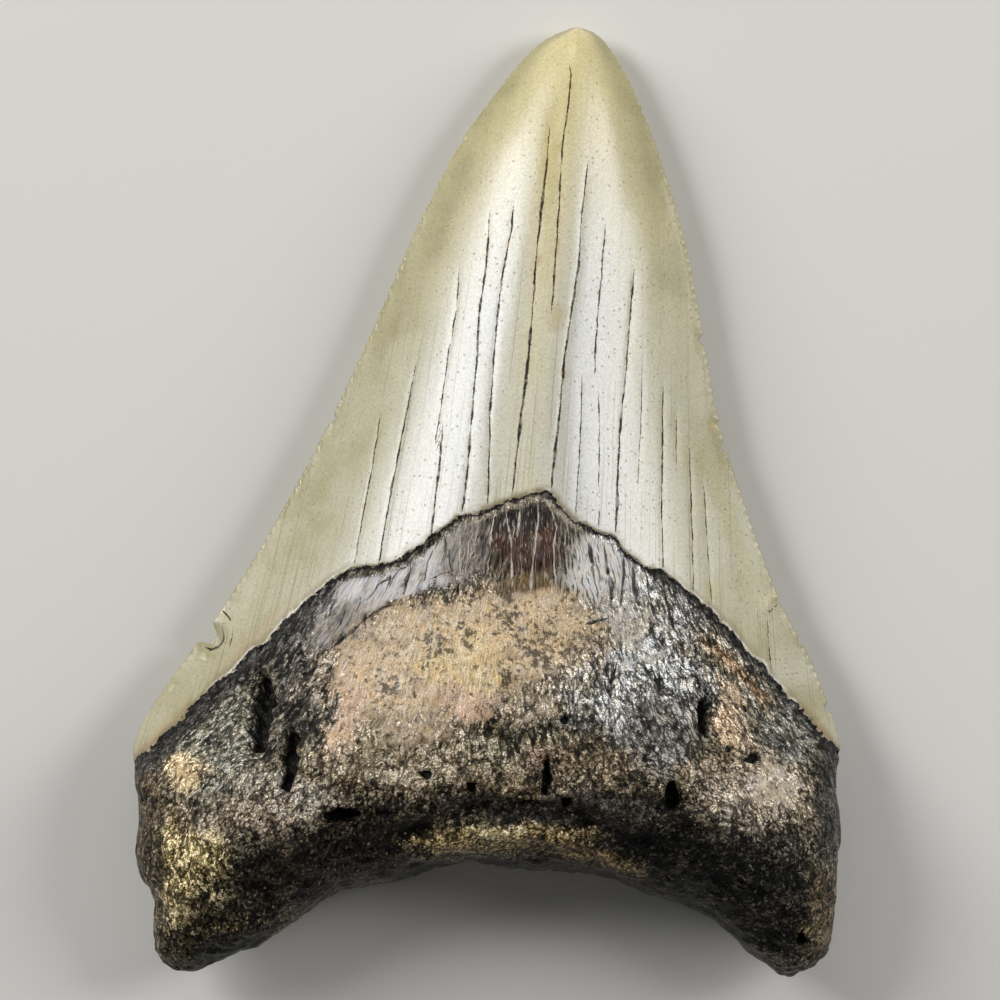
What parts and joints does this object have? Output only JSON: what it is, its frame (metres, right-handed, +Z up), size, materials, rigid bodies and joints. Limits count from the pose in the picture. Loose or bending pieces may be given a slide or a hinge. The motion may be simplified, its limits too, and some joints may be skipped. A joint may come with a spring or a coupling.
{
  "type": "megalodon tooth",
  "caption": "Fossil shark tooth: a triangular serrated enamel crown with drying cracks on a thick root with two lobes, lying on its flatter face for display.",
  "frame": {"origin": "middle of the tooth's box, on the surface it lies on", "axes": "+Y towards the tip of the crown, +Z up out of the domed inner (lingual) face, +X to the right seen from above"},
  "size_m": [0.0644, 0.0856, 0.0187],
  "materials": {
    "fossil_tooth": "glossy cracked cream enamel crown over a semi-gloss speckled brown, grey and black root"
  },
  "bodies": {
    "root": {"tooth": "fossil_tooth"}
  },
  "joints": []
}
